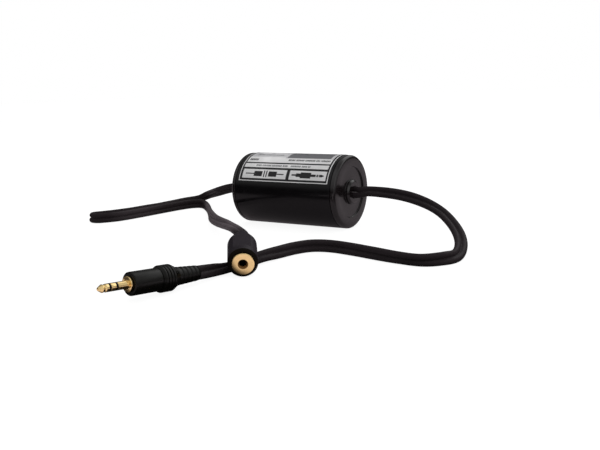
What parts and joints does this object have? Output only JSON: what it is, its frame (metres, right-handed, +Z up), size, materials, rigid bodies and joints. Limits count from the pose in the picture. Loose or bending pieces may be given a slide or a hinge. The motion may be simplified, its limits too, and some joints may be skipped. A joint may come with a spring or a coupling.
{
  "type": "ground loop isolator",
  "caption": "Black barrel isolator with a label over its top, a twin lead to a 3.5 mm stereo plug at one end and a twin lead to a 3.5 mm in-line socket at the other.",
  "frame": {"origin": "on the surface it rests on, below the middle of the barrel", "axes": "+X along the barrel toward the end with the plug lead, +Z up, -Y toward the plug and the socket"},
  "size_m": [0.2592, 0.2409, 0.0442],
  "materials": {
    "case_plastic": "black, satin to glossy",
    "cap_plastic": "black, fine moulded texture",
    "label_film": "printed silver-white film, satin",
    "bush_rubber": "matte black",
    "board_laminate": "green solder resist",
    "core_steel": "stacked laminations",
    "bobbin_nylon": "natural nylon",
    "winding_tape": "yellow polyester tape",
    "clamp_steel": "tinned steel strap",
    "tinned_pin": "tinned wire",
    "red_wire": "red insulation",
    "white_wire": "white insulation",
    "black_wire": "black insulation",
    "gold_plate": "gold plate, polished",
    "contact_plastic": "black insulator",
    "plug_plastic": "black moulded PVC, satin",
    "jack_plastic": "charcoal moulded PVC, satin",
    "spring_bronze": "phosphor bronze",
    "lead_jacket": "black PVC jacket, satin"
  },
  "bodies": {
    "root": {"barrel_tube": "case_plastic", "right_end_cap": "cap_plastic", "left_end_cap": "cap_plastic", "label": "label_film", "right_cable_bush": "bush_rubber", "left_cable_bush": "bush_rubber", "circuit_board": "board_laminate", "right_transformer_core": "core_steel", "left_transformer_core": "core_steel", "right_transformer_bobbin": "bobbin_nylon", "left_transformer_bobbin": "bobbin_nylon", "right_transformer_winding": "winding_tape", "left_transformer_winding": "winding_tape", "right_transformer_clamp": "clamp_steel", "left_transformer_clamp": "clamp_steel", "right_transformer_pin_1": "tinned_pin", "right_transformer_pin_2": "tinned_pin", "right_transformer_pin_3": "tinned_pin", "right_transformer_pin_4": "tinned_pin", "right_transformer_pin_5": "tinned_pin", "right_transformer_pin_6": "tinned_pin", "left_transformer_pin_1": "tinned_pin", "left_transformer_pin_2": "tinned_pin", "left_transformer_pin_3": "tinned_pin", "left_transformer_pin_4": "tinned_pin", "left_transformer_pin_5": "tinned_pin", "left_transformer_pin_6": "tinned_pin", "right_signal_wire_1": "white_wire", "right_ground_wire": "black_wire", "right_signal_wire_2": "red_wire", "left_signal_wire_1": "white_wire", "left_ground_wire": "black_wire", "left_signal_wire_2": "red_wire", "plug_tip": "gold_plate", "plug_tip_insulator": "contact_plastic", "plug_ring": "gold_plate", "plug_ring_insulator": "contact_plastic", "plug_sleeve": "gold_plate", "plug_handle": "plug_plastic", "plug_boot": "plug_plastic", "jack_bush": "gold_plate", "jack_housing": "jack_plastic", "jack_contact_block": "contact_plastic", "jack_tip_spring": "spring_bronze", "jack_ring_spring": "spring_bronze", "plug_lead": "lead_jacket", "jack_lead": "lead_jacket"}
  },
  "joints": []
}
